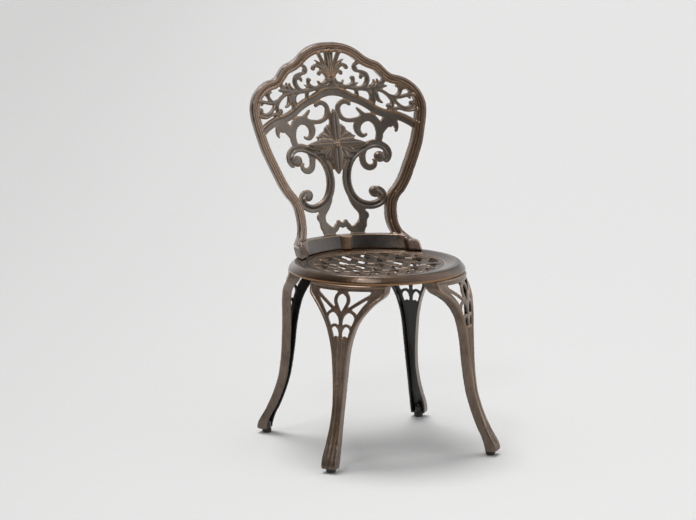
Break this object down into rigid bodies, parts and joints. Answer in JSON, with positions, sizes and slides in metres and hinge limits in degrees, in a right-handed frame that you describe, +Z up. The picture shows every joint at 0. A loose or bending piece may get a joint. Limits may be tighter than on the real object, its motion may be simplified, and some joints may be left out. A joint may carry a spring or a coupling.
{
  "type": "garden chair",
  "caption": "Round-seated cast chair with a pierced scrollwork back, dished lattice seat, cabriole legs and levelling feet.",
  "frame": {"origin": "on the floor, under the middle of the chair's outline on plan", "axes": "+Z up, -Y the way the chair faces, +X to the right of someone who looks at its front"},
  "size_m": [0.4314, 0.5131, 0.8811],
  "materials": {
    "cast_back": "antique bronze paint, satin, rubbed copper on the edges",
    "cast_seat": "antique bronze paint, satin, rubbed copper on the edges",
    "cast_leg": "antique bronze paint, satin, near black inside",
    "plastic": "black moulded plastic",
    "steel": "zinc plated steel"
  },
  "bodies": {
    "chair": {"seat": "cast_seat", "backrest": "cast_back", "leg_front_left": "cast_leg", "leg_front_right": "cast_leg", "leg_rear_right": "cast_leg", "leg_rear_left": "cast_leg", "leg_bolts": "steel", "leg_washers": "steel", "leg_spring_washers": "steel", "back_bolts": "steel", "back_washers": "steel", "back_spring_washers": "steel"},
    "foot_front_left": {"glide_pad_front_left": "plastic", "glide_stud_front_left": "steel"},
    "foot_front_right": {"glide_pad_front_right": "plastic", "glide_stud_front_right": "steel"},
    "foot_rear_right": {"glide_pad_rear_right": "plastic", "glide_stud_rear_right": "steel"},
    "foot_rear_left": {"glide_pad_rear_left": "plastic", "glide_stud_rear_left": "steel"}
  },
  "joints": [
    {"name": "level_front_left", "type": "slide", "parent": "chair", "child": "foot_front_left", "axis": [0, 0, -1], "range_m": [0, 0.006]},
    {"name": "level_front_right", "type": "slide", "parent": "chair", "child": "foot_front_right", "axis": [0, 0, -1], "range_m": [0, 0.006]},
    {"name": "level_rear_right", "type": "slide", "parent": "chair", "child": "foot_rear_right", "axis": [0, 0, -1], "range_m": [0, 0.006]},
    {"name": "level_rear_left", "type": "slide", "parent": "chair", "child": "foot_rear_left", "axis": [0, 0, -1], "range_m": [0, 0.006]}
  ]
}
